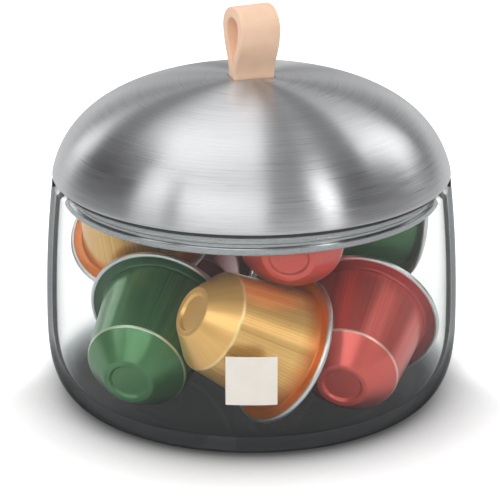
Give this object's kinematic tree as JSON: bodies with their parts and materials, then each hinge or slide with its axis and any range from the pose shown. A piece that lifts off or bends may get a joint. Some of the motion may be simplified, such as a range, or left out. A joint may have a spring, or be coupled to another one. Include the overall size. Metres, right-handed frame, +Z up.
{
  "type": "coffee capsule dispenser",
  "caption": "Glass bowl of coffee capsules under a domed brushed-steel lid that lifts off by a leather loop and centres itself with a collar and seal.",
  "frame": {"origin": "on the table, at the middle of the bowl's foot ring", "axes": "+Z up along the bowl's axis, -Y towards the front with the label, +X to the right"},
  "size_m": [0.1024, 0.1027, 0.098],
  "materials": {
    "brushed_collar": "satin",
    "brushed_lid": "turned brush marks round the axis",
    "capsule_copper": "satin lacquer",
    "capsule_dark_red": "satin lacquer",
    "capsule_gold": "satin lacquer",
    "capsule_green": "satin lacquer",
    "capsule_red": "satin lacquer",
    "clear_glass": "clear blown glass, polished",
    "foil": "bright foil",
    "ground_coffee": "ground coffee, pressed",
    "label_white": "blank matt label",
    "leather": "natural vegetable-tanned",
    "plain_steel": "plain",
    "silicone": "smoke-grey silicone"
  },
  "bodies": {
    "bowl": {"glass_bowl": "clear_glass", "front_label": "label_white", "capsule_front_left_cup": "capsule_green", "capsule_front_middle_cup": "capsule_gold", "capsule_front_right_cup": "capsule_red", "capsule_left_cup": "capsule_dark_red", "capsule_rear_right_cup": "capsule_copper", "capsule_upper_left_cup": "capsule_gold", "capsule_upper_middle_cup": "capsule_red", "capsule_upper_rear_cup": "capsule_dark_red", "capsule_upper_right_cup": "capsule_green", "capsule_front_left_foil": "foil", "capsule_front_middle_foil": "foil", "capsule_front_right_foil": "foil", "capsule_left_foil": "foil", "capsule_rear_right_foil": "foil", "capsule_upper_left_foil": "foil", "capsule_upper_middle_foil": "foil", "capsule_upper_rear_foil": "foil", "capsule_upper_right_foil": "foil", "coffee_doses": "ground_coffee"},
    "seal": {"lid_gasket": "silicone"},
    "lid": {"lid_dome": "brushed_lid", "lid_collar": "brushed_collar", "leather_loop": "leather", "loop_backing_plate": "plain_steel", "loop_pin": "plain_steel", "pin_cap_rear": "plain_steel", "pin_cap_front": "plain_steel"}
  },
  "joints": [
    {"name": "lid_lift", "type": "slide", "parent": "bowl", "child": "seal", "axis": [0, 0, 1], "range_m": [0, 0.08]},
    {"name": "lid_turn", "type": "hinge", "parent": "seal", "child": "lid", "pos_m": [0, 0, 0.0564], "axis": [0, 0, 1], "continuous": true}
  ]
}
